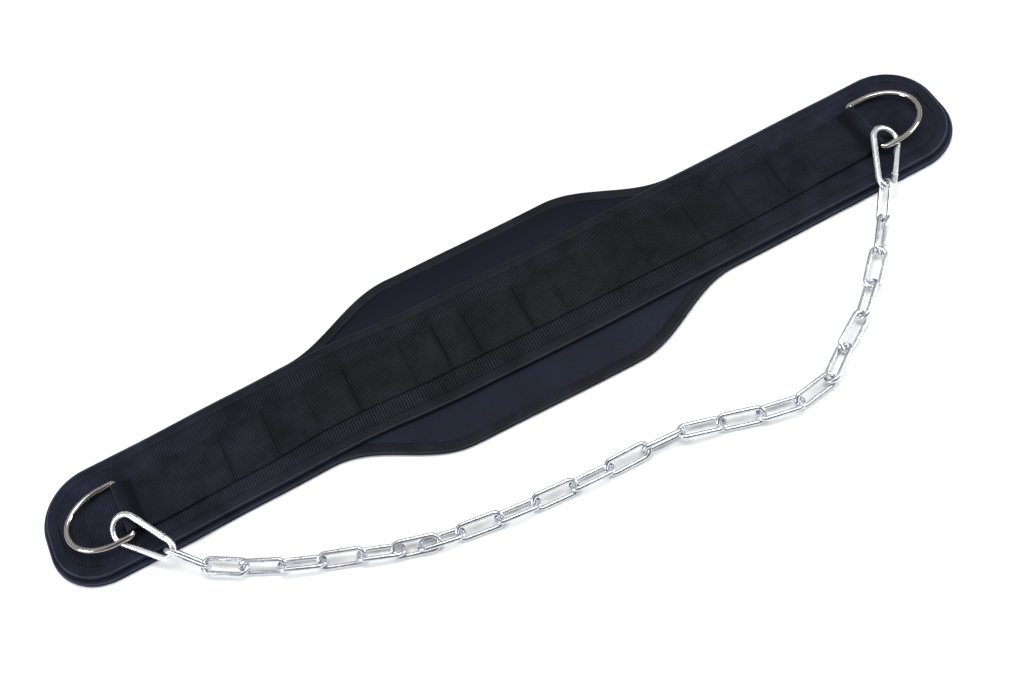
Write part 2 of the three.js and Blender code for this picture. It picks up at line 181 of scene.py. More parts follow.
def nodeCloud(name):
    # A CAD node's points, each once.
    return np.unique(np.round(getPoints(frame["nodes"][name]), 6), axis=0)


def mainAxes(cloud):
    centre = cloud.mean(axis=0)
    axes = np.linalg.eigh(np.cov((cloud - centre).T))[1]
    return centre, axes[:, 2], axes[:, 1], axes[:, 0]


def smoothstep(value):
    share = np.clip(value, 0, 1)
    return share * share * (3 - 2 * share)


# Materials.

def linear(hexColour):
    channels = [int(hexColour[i:i + 2], 16) / 255 for i in (0, 2, 4)]
    return [c / 12.92 if c <= 0.04045 else ((c + 0.055) / 1.055) ** 2.4 for c in channels] + [1]


def addNode(tree, kind, settings=None):
    # A setting is a value, a ramp's stops, or another node or output to link from.
    node = tree.nodes.new("ShaderNode" + kind)
    for key, value in (settings or {}).items():
        if isinstance(value, bpy.types.Node):
            value = value.outputs[0]
        if isinstance(value, bpy.types.NodeSocket):
            tree.links.new(value, node.inputs[key])
        elif key == "stops":
            for element, (position, hexColour) in zip(node.color_ramp.elements, value):
                element.position = position
                element.color = linear(hexColour)
        elif isinstance(key, int) or key in node.inputs:
            node.inputs[key].default_value = value
        else:
            setattr(node, key, value)
    return node


def newMaterial(name, **shader):
    material = bpy.data.materials.new(name)
    material.use_nodes = True
    tree = material.node_tree
    surface = tree.nodes["Principled BSDF"]
    for key, value in shader.items():
        surface.inputs[key.replace("_", " ")].default_value = value
    return material, tree, surface


# What all the cloths share, with the painted bluish light towards the ends and the painted highlight along a tape's
# fold. Sizes in millimetres.
cloth = {"gloss": 0.12, "sheenSpread": 0.45, "patchSize": 26.3, "fuzzSize": 0.714, "fuzzShare": 0.25,
         "reliefDepth": 0.3, "endsFrom": 160, "endsTo": 360, "endStretch": 0.6,
         "endPaintedBlueLight": (1.05, 1.2, 1.6, 1), "darkAt": 0.1, "foldHighlightRun": 0.9, "foldHighlightCore": 0.2}


def clothMaterial(name, look, sheenSpread):
    return newMaterial(
        name, Roughness=look["roughness"], Specular_IOR_Level=cloth["gloss"], Sheen_Weight=look["sheen"],
        Sheen_Roughness=sheenSpread, Sheen_Tint=linear(look["light"]))


def wovenMaterial(name, look):
    # Ribs run across the cloth, threads make a fine weave, and random patches are a little lighter. The relief that
    # shapes the bump also sets the colour, so grooves are painted shade and rib tops painted light.
    material, tree, surface = clothMaterial(name, look, cloth["sheenSpread"])
    flat = addNode(tree, "UVMap")
    place = addNode(tree, "TexCoord").outputs["Object"]
    bands = []
    for pitch, direction in (("ribPitch", "X"), ("threadPitch", "X"), ("threadPitch", "Y")):
        bands.append(addNode(tree, "TexWave", {
            "bands_direction": direction, "wave_profile": "SIN", "Scale": 2 * math.pi / (20 * look[pitch]),
            "Distortion": 0, "Vector": flat}).outputs["Fac"])
    ribs, warp, weft = bands
    along = addNode(tree, "SeparateXYZ", {0: place}).outputs["X"]
    fromMiddle = addNode(tree, "Math", {"operation": "ABSOLUTE", 0: along})
    ends = addNode(tree, "MapRange", {
        "From Min": cloth["endsFrom"] * mm, "From Max": cloth["endsTo"] * mm, "Value": fromMiddle})
    # The ribs are flatter under the rings, where the cloth is stretched.
    flatness = addNode(tree, "Math", {"operation": "MULTIPLY_ADD", 0: ends, 1: -cloth["endStretch"], 2: 1})
    centred = addNode(tree, "Math", {"operation": "SUBTRACT", 0: ribs, 1: 0.5})
    ribs = addNode(tree, "Math", {"operation": "MULTIPLY_ADD", 0: centred, 1: flatness, 2: 0.5})
    patches = addNode(tree, "TexNoise", {"Scale": 1 / (cloth["patchSize"] * mm), "Detail": 5,
                                         "Roughness": 0.6, "Vector": place})
    fuzz = addNode(tree, "TexNoise", {"Scale": 1 / (cloth["fuzzSize"] * mm), "Detail": 2, "Vector": place})
    threads = addNode(tree, "Math", {"operation": "MULTIPLY", 0: warp, 1: weft})
    threads = addNode(tree, "Math", {"operation": "MULTIPLY", 0: threads, 1: look["threadShare"]})
    weave = addNode(tree, "Math", {"operation": "MULTIPLY_ADD", 0: ribs, 1: look["ribShare"], 2: threads})
    relief = addNode(tree, "Math", {"operation": "MULTIPLY_ADD", 0: fuzz, 1: cloth["fuzzShare"], 2: weave})
    toneWithPaintedLight = addNode(tree, "Math", {"operation": "MULTIPLY", 0: relief, 1: patches})
    # The strap's painted light and shade scales its colour: painted shade at tacks and behind folds, painted
    # highlights on loops and rises.
    if "paintedLight" in look:
        paintedLight = addNode(tree, "Attribute", {"attribute_name": "paintedLight"}).outputs["Fac"]
        paintedLightTone = addNode(tree, "Math", {"operation": "MULTIPLY", 0: paintedLight, 1: look["paintedLight"]})
        toneWithPaintedLight = addNode(tree, "Math", {"operation": "MULTIPLY", 0: toneWithPaintedLight, 1: paintedLightTone})
    if "fold" in look:
        # A painted highlight: the tape is painted lighter along its fold, where its rolled edge catches the light.
        turn = addNode(tree, "SeparateXYZ", {0: flat}).outputs["Y"]
        aside = addNode(tree, "Math", {"operation": "SUBTRACT", 0: turn, 1: look["fold"]})
        fromFold = addNode(tree, "Math", {"operation": "ABSOLUTE", 0: aside})
        foldHighlight = addNode(tree, "MapRange", {
            "From Min": cloth["foldHighlightRun"], "From Max": cloth["foldHighlightCore"], "Value": fromFold})
        toneWithPaintedLight = addNode(tree, "Math", {"operation": "MULTIPLY_ADD", 0: foldHighlight, 1: patches, 2: toneWithPaintedLight})
    # The ramp turns the relief into colour: painted shade in the grooves, painted light on the rib tops.
    colour = addNode(tree, "ValToRGB", {
        "stops": [(cloth["darkAt"], look["dark"]), (look["lightAt"], look["light"])], "Fac": toneWithPaintedLight})
    # Painted bluish light: the colour is made lighter and bluer towards the belt's ends.
    withPaintedEndLight = addNode(tree, "Mix", {"data_type": "RGBA", "blend_type": "MULTIPLY", 0: ends, 6: colour,
                                   7: cloth["endPaintedBlueLight"]})
    bump = addNode(tree, "Bump", {"Strength": look["bump"], "Distance": cloth["reliefDepth"] * mm,
                                  "Height": relief})
    tree.links.new(withPaintedEndLight.outputs[2], surface.inputs["Base Color"])
    tree.links.new(bump.outputs["Normal"], surface.inputs["Normal"])
    return material


# The last three set a painted shade across the wings: a little lighter near, darker far.
jersey = {"sheenSpread": 0.5, "patchSize": 71.4, "knitShare": 0.35, "patchShare": 0.65, "relief": 0.35,
          "reliefDepth": 0.15, "paintedShadeReach": 70, "nearPaintedLight": 1.1, "farPaintedShade": 0.35}


def jerseyMaterial(name, look):
    # Smooth cloth with a very fine knit and soft pile, and painted shade that darkens its far side. Sizes in
    # millimetres.
    material, tree, surface = clothMaterial(name, look, jersey["sheenSpread"])
    place = addNode(tree, "TexCoord").outputs["Object"]
    knit = addNode(tree, "TexVoronoi", {"Scale": 1 / (look["knitPitch"] * mm), "Vector": place})
    patches = addNode(tree, "TexNoise", {"Scale": 1 / (jersey["patchSize"] * mm), "Detail": 4,
                                         "Roughness": 0.55, "Vector": place})
    patches = addNode(tree, "Math", {"operation": "MULTIPLY", 0: patches, 1: jersey["patchShare"]})
    toneWithPaintedLight = addNode(tree, "Math", {"operation": "MULTIPLY_ADD", 0: knit, 1: jersey["knitShare"], 2: patches})
    # Painted shade: the far wing is painted darker across its width, and the near wing a little lighter.
    across = addNode(tree, "SeparateXYZ", {0: place}).outputs["Y"]
    paintedWingShade = addNode(tree, "MapRange", {
        "From Min": 0, "From Max": jersey["paintedShadeReach"] * mm, "To Min": jersey["nearPaintedLight"],
        "To Max": jersey["farPaintedShade"], "Value": across})
    toneWithPaintedLight = addNode(tree, "Math", {"operation": "MULTIPLY", 0: toneWithPaintedLight, 1: paintedWingShade})
    colour = addNode(tree, "ValToRGB", {"stops": [(0, look["dark"]), (1, look["light"])], "Fac": toneWithPaintedLight})
    bump = addNode(tree, "Bump", {
        "Strength": jersey["relief"], "Distance": jersey["reliefDepth"] * mm, "Height": knit})
    tree.links.new(colour.outputs["Color"], surface.inputs["Base Color"])
    tree.links.new(bump.outputs["Normal"], surface.inputs["Normal"])
    return material


# The dents of tumbling in a drum, in millimetres.
dent = {"size": 1.923, "depth": 0.2}


def platedMaterial(name, look):
    # Plated steel: bright, with faint cloudy patches and the fine dents of tumbling.
    material, tree, surface = newMaterial(name, Metallic=1.0)
    place = addNode(tree, "TexCoord").outputs["Object"]
    clouds = addNode(tree, "TexNoise", {"Scale": 1 / (look["cloudSize"] * mm), "Detail": 4, "Roughness": 0.6,
                                        "Vector": place})
    dents = addNode(tree, "TexNoise", {"Scale": 1 / (dent["size"] * mm), "Detail": 2, "Vector": place})
    colour = addNode(tree, "ValToRGB", {"stops": [(0, look["dark"]), (1, look["light"])], "Fac": clouds})
    rough = addNode(tree, "MapRange", {"From Min": 0.3, "From Max": 0.7, "To Min": look["smoothest"],
                                       "To Max": look["roughest"], "Value": clouds})
    bump = addNode(tree, "Bump", {
        "Strength": look["dents"], "Distance": dent["depth"] * mm, "Height": dents})
    tree.links.new(colour.outputs["Color"], surface.inputs["Base Color"])
    tree.links.new(rough.outputs["Result"], surface.inputs["Roughness"])
    tree.links.new(bump.outputs["Normal"], surface.inputs["Normal"])
    return material


# Nylon jersey glued on foam rubber gives a matt, blue-black face with soft clouds and no clear weave, and painted
# shade on its far wing.
# Its knit is drawn coarser than the real 0.3 mm, which would not show.
neoprene = jerseyMaterial("nylonJerseyOnNeoprene", {
    "dark": "080b14", "light": "232836", "roughness": 0.8, "sheen": 0.06, "knitPitch": 0.9})
# Woven ribbed tape gives fine dark ribs with a dull gleam, and a painted highlight along its fold.
bindingTape = wovenMaterial("polyesterGrosgrainTape", {
    "dark": "07080c", "light": "30333d", "lightAt": 0.8, "fold": 9.0, "roughness": 0.6, "sheen": 0.04,
    "ribPitch": 1.3, "ribShare": 0.6, "threadPitch": 0.6, "threadShare": 0.3, "bump": 0.6})
# Thin knitted lining gives a flat near-black, seen only beside the webbing's edges.
stripCloth = jerseyMaterial("polyesterLiningCloth", {
    "dark": "08090d", "light": "14161c", "roughness": 0.85, "sheen": 0.05, "knitPitch": 0.8})
# Broad nylon webbing, woven over thick weft, gives bold ribs that show as fine stripes from afar.
wideWeave = wovenMaterial("nylonRibbedWebbing", {
    "dark": "040406", "light": "2a2c34", "lightAt": 0.6, "roughness": 0.75, "sheen": 0.06, "ribPitch": 2.5,
    "ribShare": 0.7, "threadPitch": 0.8, "threadShare": 0.3, "bump": 0.8})
# Softer polypropylene webbing gives a dusty black, with painted shade where the tacks draw it in and behind its folds,
# and painted highlights on its loops.
strapWeave = wovenMaterial("polypropyleneWebbing", {
    "dark": "050609", "light": "313239", "lightAt": 0.62, "paintedLight": 2, "roughness": 0.7, "sheen": 0.06,
    "ribPitch": 2.1, "ribShare": 0.8, "threadPitch": 0.7, "threadShare": 0.2, "bump": 1.0})
# Twisted and bonded thread gives a dark, slightly glossy dash with a fine twist.
threadLook = {"colour": "101116", "roughness": 0.6, "gloss": 0.3, "twistSize": 0.385, "twistDepth": 0.08}
threadFinish, threadTree, threadSurface = newMaterial(
    "bondedNylonThread", Base_Color=linear(threadLook["colour"]), Roughness=threadLook["roughness"],
    Specular_IOR_Level=threadLook["gloss"])
twist = addNode(threadTree, "TexNoise", {"Scale": 1 / (threadLook["twistSize"] * mm), "Detail": 1,
                                         "Vector": addNode(threadTree, "TexCoord").outputs["Object"]})
threadBump = addNode(threadTree, "Bump", {"Strength": 0.4, "Distance": threadLook["twistDepth"] * mm,
                                          "Height": twist})
threadTree.links.new(threadBump.outputs["Normal"], threadSurface.inputs["Normal"])
# Nickel plated in a drum gives a warm grey near-mirror, its reflections barely broken up.
nickel = platedMaterial("nickelPlatedSteel", {
    "dark": "8c8884", "light": "cdc9c4", "cloudSize": 16.7, "smoothest": 0.08, "roughest": 0.15,
    "dents": 0.06})
# Zinc plated on tumbled links gives a cool bright grey with cloudy, softer highlights.
zinc = platedMaterial("zincPlatedSteel", {
    "dark": "b8bdc6", "light": "f4f5f7", "cloudSize": 6.25, "smoothest": 0.14, "roughest": 0.3,
    "dents": 0.07})
# Bright zinc on smooth wire gives the carabiners a paler and more even satin than the chain.
brightZinc = platedMaterial("brightZincPlatedSteel", {
    "dark": "dfe2e7", "light": "fbfbfc", "cloudSize": 11.1, "smoothest": 0.22, "roughest": 0.34,
    "dents": 0.03})
print("stage: materials made")


# The belt's outline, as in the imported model. Millimetres.

belt = {"length": 849.5, "width": 111.5, "lumbarWidth": 187, "lumbarLength": 374, "lumbarCrest": 152,
        "corner": 46.5, "bindingReach": 10}
baseLayer = {"length": belt["length"], "width": belt["width"], "corner": belt["corner"],
             "bulge": (belt["lumbarWidth"] - belt["width"]) / 2, "floor": 0, "top": 4}
stripMargin = 4.3
stripLayer = {"length": belt["length"] - 2 * stripMargin, "width": belt["width"] - 2 * stripMargin,
              "corner": belt["corner"] - stripMargin, "bulge": 0, "floor": 4.3, "top": 9.3}
# How the middle lines wander: share of half the length, and shares of the width.
drift = np.array([(-1, -0.01, -0.056), (-0.8, -0.007, -0.056), (-0.57, 0.012, -0.024),
                  (-0.38, 0.027, 0.018), (-0.14, -0.018, -0.016), (0.1, -0.026, -0.028),
                  (0.45, -0.011, -0.035), (0.8, 0.006, 0.002), (1, 0.018, 0.002)])


def driftAt(x, column=1):
    along = np.clip(np.asarray(x) / (belt["length"] / 2), -1, 1)
    row = np.clip(np.searchsorted(drift[:, 0], along), 1, len(drift) - 1)
    share = smoothstep((along - drift[row - 1, 0]) / (drift[row, 0] - drift[row - 1, 0]))
    return belt["width"] * (drift[row - 1, column] * (1 - share) + drift[row, column] * share)


def lumbarShare(x):
    run = (np.abs(x) - belt["lumbarCrest"] / 2) / ((belt["lumbarLength"] - belt["lumbarCrest"]) / 2)
    return (1 + np.cos(math.pi * np.clip(run, 0, 1))) / 2


def slantAt(layer, x):
    # How steeply the edge runs across the belt, on whichever side is the steeper.
    ahead, behind = x + 0.5, x - 0.5
    bulging = layer["bulge"] * (lumbarShare(ahead) - lumbarShare(behind))
    return np.abs(bulging) + np.abs(driftAt(ahead) - driftAt(behind))


def halfWidthAt(layer, x, inset=0):
    # An inset is measured square to the edge, so it takes more of the width where the edge slants.
    radius = layer["corner"] - inset
    past = np.clip(np.abs(x) - (layer["length"] / 2 - layer["corner"]), 0, radius)
    flat = layer["width"] / 2 - layer["corner"] + layer["bulge"] * lumbarShare(x)
    flat = flat - inset * (np.hypot(1, slantAt(layer, x)) - 1)
    return flat + np.sqrt(np.maximum(radius ** 2 - past ** 2, 0))


def outlineOf(layer, count):
    # Points round a layer's edge at even steps, with their outward directions and the whole length.
    x = layer["length"] / 2 * np.sin(np.linspace(-math.pi / 2, math.pi / 2, 4001))
    far = np.stack([x, halfWidthAt(layer, x)], 1)
    loop = np.concatenate([far, far[::-1] * (1, -1)])
    loop[:, 1] += driftAt(loop[:, 0])
    closed = np.concatenate([loop, loop[:1]])
    run = np.concatenate([[0], np.cumsum(np.hypot(*np.diff(closed, axis=0).T))])
    steps = np.arange(count) * run[-1] / count
    points = np.stack([np.interp(steps, run, closed[:, i]) for i in (0, 1)], 1)
    ahead = np.roll(points, -2, axis=0) - np.roll(points, 2, axis=0)
    ahead /= np.linalg.norm(ahead, axis=1)[:, None]
    return points, np.stack([-ahead[:, 1], ahead[:, 0]], 1), run[-1]


def ripple(x, y, size, seed=0):
    # Smooth unevenness between -1 and 1.
    places = zip(np.ravel(x), np.ravel(y))
    return np.array([noise.noise(Vector((a / size, b / size, seed))) for a, b in places])


def gridPiece(name, columns, rows):
    deselectAll()
    bpy.ops.mesh.primitive_grid_add(x_subdivisions=columns, y_subdivisions=rows, size=2)
    piece = newest(name)
    points = getPoints(piece)
    return piece, points[:, 0], points[:, 1]


# Padded layers. Each is a sheet laid out flat and thickened, and a layer with a crown is then filled out.

padLook = {"wingCrown": 1.1, "crownRun": 8, "stripRun": 9, "unevenness": 0.18, "unevenSize": 32,
           "inset": 10.15, "edgeDrop": 0.7, "edgeRun": 3, "pressure": 14, "stretchStiffness": 40,
           "bendStiffness": 8, "startShare": 0.25, "seamHold": 2, "stripHold": 1, "frames": 20,
           "mostLift": 1.8}


def swell(piece, held):
    # A cloth simulation blows up what the seams don't hold. No point moves further than mostLift.
    start = getPoints(piece)
    group = piece.vertex_groups.new(name="held")
    group.add([int(i) for i in np.flatnonzero(held)], 1, "REPLACE")
    activate(piece)
    modifier = piece.modifiers.new("Cloth", "CLOTH")
    modifier.settings.use_pressure = True
    modifier.settings.uniform_pressure_force = padLook["pressure"]
    modifier.settings.vertex_group_mass = "held"
    modifier.settings.tension_stiffness = padLook["stretchStiffness"]
    modifier.settings.compression_stiffness = padLook["stretchStiffness"]
    modifier.settings.bending_stiffness = padLook["bendStiffness"]
    modifier.settings.quality = 4
    modifier.settings.effector_weights.gravity = 0
    modifier.collision_settings.use_collision = False
    for frameNumber in range(1, padLook["frames"] + 1):
        bpy.context.scene.frame_set(frameNumber)
    moved = np.empty(len(start) * 3)
    shaped = piece.evaluated_get(bpy.context.evaluated_depsgraph_get())
    shaped.data.vertices.foreach_get("co", moved)
    piece.modifiers.remove(modifier)
    piece.vertex_groups.remove(group)
    bpy.context.scene.frame_set(1)
    move = moved.reshape(-1, 3) - start
    far = np.linalg.norm(move, axis=1)[:, None]
    print("stage: pad swollen, furthest point moved", round(float(far.max()) * 1000, 2), "mm")
    most = padLook["mostLift"] * mm
    # The cap is soft, so the surface keeps its crown.
    share = np.where(far > 1e-9, most * np.tanh(far / most) / np.maximum(far, 1e-9), 1)
    setPoints(piece, start + move * share)


def padPiece(name, layer, top, columns, rows, crown):
    piece, u, v = gridPiece(name, columns, rows)
    inset = padLook["inset"]
    x = (layer["length"] / 2 - inset) * np.sin(u * math.pi / 2)
    half = halfWidthAt(layer, x, inset)
    y = v * half + driftAt(x)
    thickness = top - layer["floor"]
    setPoints(piece, np.stack([x, y, np.full_like(x, layer["floor"] + thickness / 2)], 1))
    setFlatMap(piece, x, y)
    applyModifier(piece, "SOLIDIFY", thickness=thickness, offset=0, use_rim=True)
    points = getPoints(piece)
    x, y, z = points.T
    across = np.abs(y - driftAt(x))
    toSeam = halfWidthAt(layer, x, inset) - across
    toStrip = across - stripLayer["width"] / 2
    upper = z > layer["floor"] + thickness / 2
    lift = crown * smoothstep(toSeam / padLook["crownRun"])
    lift *= smoothstep((toStrip + padLook["stripHold"]) / padLook["stripRun"])
    uneven = padLook["unevenness"] * ripple(x, y, padLook["unevenSize"])
    lift += uneven * smoothstep(toStrip / 5) * (crown > 0)
    swelling = crown > 0 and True
    if swelling:
        lift *= padLook["startShare"]
    drop = padLook["edgeDrop"] * (1 - smoothstep(toSeam / padLook["edgeRun"]))
    points[:, 2] = np.where(upper, z + lift - drop, z)
    setPoints(piece, points * mm)
    if swelling:
        swell(piece, ~upper | (toSeam < padLook["seamHold"]) | (toStrip < padLook["stripHold"]))
    smooth(piece, 60)
    return piece


basePad = padPiece("basePad", baseLayer, baseLayer["top"], 260, 64, padLook["wingCrown"])
finishPiece(basePad, neoprene, ["base_pad"])
stripPad = padPiece("stripPad", stripLayer, 7.6, 160, 16, 0)
finishPiece(stripPad, stripCloth, ["strip_pad"])
print("stage: pads laid")


# Binding tape folded over each pad's edge.

tape = {"wall": 1.1, "lipRun": 1.2, "lipDrop": 0.35, "bowAt": 0.55, "foldDepth": 1.15, "foldTurn": 78,
        "foldSteps": 11, "slotAt": 0.5, "slotDepth": 1.1, "pucker": 0.16, "puckerSize": 9, "puckerFrom": 5}


def bindingSection(floor, top, reach, bow):
    # A folded tape seen in section: inset from the edge and height. It swells a little at its fold.
    middle, half, wall = (floor + top) / 2, (top - floor) / 2, tape["wall"]
    lip, bowAt, slotAt = reach - tape["lipRun"], reach * tape["bowAt"], reach * tape["slotAt"]
    slotEnd = half * tape["slotDepth"]
    outer = [(reach, top - tape["lipDrop"]), (lip, top), (bowAt, top + bow)]
    outer += [(half * tape["foldDepth"] * (1 - math.cos(a)), middle + half * math.sin(a))
              for a in np.radians(np.linspace(tape["foldTurn"], -tape["foldTurn"], tape["foldSteps"]))]
    outer += [(bowAt, floor), (lip, floor), (reach, floor + tape["lipDrop"])]
    inner = [(reach, floor + wall), (slotAt, floor + wall), (slotEnd, floor + wall)]
    inner += [(slotEnd, top - wall), (slotAt, top - wall), (reach, top - wall)]
    return outer + inner


def bindingPiece(name, layer, count, bow):
    section = np.array(bindingSection(layer["floor"], layer["top"], belt["bindingReach"], bow))
    piece, u, v = gridPiece(name, count, len(section))
    edge, outward, length = outlineOf(layer, count)
    step = np.rint((u + 1) / 2 * count).astype(int)
    turn = np.rint((v + 1) / 2 * len(section)).astype(int)
    insets, heights = section.T
    at, inset, height = step % count, insets[turn % len(section)], heights[turn % len(section)]
    # Small puckers where the thread draws the tape's inner edge down.
    waves = ripple(np.arange(count) * length / count, np.zeros(count), tape["puckerSize"], 3)[at]
    inner = smoothstep((inset - tape["puckerFrom"]) / 4) * (height > (layer["floor"] + layer["top"]) / 2)
    places = edge[at] - outward[at] * inset[:, None]
    setPoints(piece, np.column_stack([places, height + tape["pucker"] * waves * inner]) * mm)
    sides = np.hypot(*(np.roll(section, -1, axis=0) - section).T)
    around = np.concatenate([[0], np.cumsum(sides)])
    setFlatMap(piece, step * length / count, around[turn])
    faceOutwards(piece)
    smooth(piece, 50)
    return piece


baseBinding = bindingPiece("baseBinding", baseLayer, 960, 0.25)
stripBinding = bindingPiece("stripBinding", stripLayer, 900, 0.2)
finishPiece(baseBinding, bindingTape, ["base_binding"])
finishPiece(stripBinding, bindingTape, ["strip_binding"])
print("stage: bindings folded")


# Wide webbing between the strip's bindings, with ribs across it.

webLook = {"ribPitch": 2.5, "ribHeight": 0.24, "columnsPerRib": 4, "rows": 20, "wall": 1.1, "top": 9.2,
           "inset": 10.35, "endInset": 10.8, "edgeDrop": 0.3, "edgeRun": 1.5, "unevenness": 0.12}


def wideWebbingPiece():
    inset = webLook["inset"]
    length = stripLayer["length"] - 2 * webLook["endInset"]
    columns = int(length / webLook["ribPitch"] * webLook["columnsPerRib"])
    piece, u, v = gridPiece("wideWebbing", columns, webLook["rows"])
    x = u * length / 2
    half = halfWidthAt(stripLayer, x, inset)
    y = v * half + driftAt(x)
    stretched = 1 - 0.7 * smoothstep((np.abs(x) - 240) / 90)
    rib = webLook["ribHeight"] * (0.5 + 0.5 * stretched * np.cos(2 * math.pi * x / webLook["ribPitch"]))
    toEdge = np.minimum((1 - np.abs(v)) * half, length / 2 - np.abs(x))
    edge = webLook["edgeDrop"] * (1 - smoothstep(toEdge / webLook["edgeRun"]))
    z = webLook["top"] - webLook["wall"] / 2 - webLook["ribHeight"] / 2 + rib - edge
    z = z + webLook["unevenness"] * ripple(x, y, 24, 5)
    setPoints(piece, np.stack([x, y, z], 1) * mm)
    setFlatMap(piece, x, y)
    applyModifier(piece, "SOLIDIFY", thickness=webLook["wall"] * mm, offset=0, use_rim=True)
    smooth(piece, 70)
    return piece, length


wideWebbing, wideLength = wideWebbingPiece()
finishPiece(wideWebbing, wideWeave, ["wide_webbing"])
print("stage: wide webbing laid")


# Load strap: folded round each ring's bar, sewn down along its edges, with tacks across it.

strap = {"width": 50, "wall": 1.25, "ribPitch": 2.1, "ribHeight": 0.26, "floor": 9.6, "layer": 1.4,
         "tail": 62,
         "loopInner": 3.0, "loopLift": 3.8, "loopRun": 36, "barLeft": -352.967, "barRight": 350.207,
         "yaw": {"left": 3, "right": 0}, "crown": 3.0}
# Tacks across the strap: place, and how hard each one draws it down.
tacks = {-262: 0.5, -221: 0.6, -182: 0.2, -145: 1, -94: 0.4, -62: 1, -34: 0.8, 14: 0.9, 46: 0.3, 84: 0.2,
         126: 0.3, 178: 0.5, 221: 0.4, 262: 0.4}
boxNear, boxFar, boxHalf = 17, 57, 20.5      # stitched box behind each bar, from the bar inwards


def strapRoute():
    # The strap's middle line seen from the side, from one tail's end to the other's. Each end runs along
    # the lower layer, round the bar and back on top, and drops where the tail below it stops.
    low = strap["floor"] + strap["layer"] / 2
    high = low + strap["layer"]
    barHeight = strap["floor"] + strap["loopInner"] + strap["layer"]
    radius = strap["loopInner"] + strap["layer"] / 2
    turn = [(radius * math.cos(a), barHeight + radius * math.sin(a))
            for a in np.radians(np.linspace(-90, 115, 24))]
    end = [(-strap["tail"], low), (-16, low), (-7, low)] + turn
    end += [(-12.8, high + 0.1), (-15, high)]
    end += [(-20, high), (-strap["tail"] - 1, high), (-strap["tail"] - 4, low), (-strap["tail"] - 9, low)]
    left = [(strap["barLeft"] - x, z) for x, z in end]
    right = [(strap["barRight"] + x, z) for x, z in reversed(end)]
    route = np.array(left + right)
    run = np.concatenate([[0], np.cumsum(np.hypot(*np.diff(route, axis=0).T))])
    even = np.arange(0, run[-1], 0.35)
    line = np.stack([np.interp(even, run, route[:, i]) for i in (0, 1)], 1)
    for _ in range(14):
        line[1:-1] = (line[:-2] + 2 * line[1:-1] + line[2:]) / 4
    return line


def layOnBelt(x, y, z):
    # Lifts the loops' near edge, turns them with their rings and moves all onto the middle line.
    share = 1 - smoothstep(np.minimum(x - strap["barLeft"], strap["barRight"] - x) / strap["loopRun"])
    lift = strap["loopLift"] * share * (0.5 - y / strap["width"])
    turn = np.tan(np.radians(np.where(x < 0, strap["yaw"]["left"], strap["yaw"]["right"])))
    return np.stack([x - share * y * turn, y + driftAt(x, 2), z + lift], -1)


def boxSeams():
    # Straight seams of the two stitched boxes with their crosses: start and end on the flat strap.
    seams = []
    for bar, inwards in ((strap["barLeft"], 1), (strap["barRight"], -1)):
        near, far = bar + inwards * boxNear, bar + inwards * boxFar
        corners = [(near, -boxHalf), (far, -boxHalf), (far, boxHalf), (near, boxHalf)]
        seams += [(corners[i], corners[(i + 1) % 4]) for i in range(4)]
        seams += [(corners[0], corners[2]), (corners[1], corners[3])]
    return seams


def toSeam(x, y, seam):
    start, end = np.array(seam[0]), np.array(seam[1])
    way = end - start
    share = np.clip(((x - start[0]) * way[0] + (y - start[1]) * way[1]) / way.dot(way), 0, 1)
    return np.hypot(x - start[0] - share * way[0], y - start[1] - share * way[1])


folds = {"leastRise": 0.35, "fullness": 0.45, "wrinkle": 0.4, "wrinkleSize": 17, "crease": 0.45,
         "creaseSize": 6, "tackDrop": 0.35, "tackReach": 2.6, "seamDrop": 0.3, "seamReach": 1.3,
         "deepest": -0.15}


def strapRelief(x, y):
    # Height of the upper layer over its flat lie: it rises between tacks and is drawn down at seams.
    stops = np.array([strap["barLeft"] + boxFar] + list(tacks) + [strap["barRight"] - boxFar])
    rises = np.array([dice.uniform(folds["leastRise"], 1) for _ in stops])
    slack = np.array([0.3] + list(tacks.values()) + [0.3])
    span = np.clip(np.searchsorted(stops, x) - 1, 0, len(stops) - 2)
    share = (x - stops[span]) / (stops[span + 1] - stops[span])
    inside = (x > stops[0]) & (x < stops[-1])
    held = 1 - np.abs(y / (strap["width"] / 2)) ** 4
    relief = strap["crown"] * rises[span] * (slack[span] + slack[span + 1]) / 2
    relief = relief * np.sin(math.pi * np.clip(share, 0, 1)) ** folds["fullness"] * inside
    relief += folds["wrinkle"] * ripple(x, y, folds["wrinkleSize"], 8)
    relief += folds["crease"] * ripple(x, y * 0.3, folds["creaseSize"], 2) * inside
    relief *= held
    for tack in tacks:
        relief -= folds["tackDrop"] * np.exp(-(np.abs(x - tack) / folds["tackReach"]) ** 2) * held
    for seam in boxSeams():
        relief -= folds["seamDrop"] * np.exp(-(toSeam(x, y, seam) / folds["seamReach"]) ** 2)
    return np.maximum(relief, folds["deepest"])


# Painted light and shade on the strap: painted highlights on its rises and on the loop round the bar, painted shade at
# the tacks and in the dip behind the fold, each with its place behind the bar and its reach.
strapPaintedLight = {"base": 0.35, "highlightOnRises": 0.03, "shadeAtTacks": 0.22, "unevenness": 0.7, "unevenSize": 7,
             "shadowBehindFold": 0.24, "foldAt": 9, "foldReach": 4, "highlightOnLoop": 0.3, "loopAt": -3.5, "loopReach": 1.6}


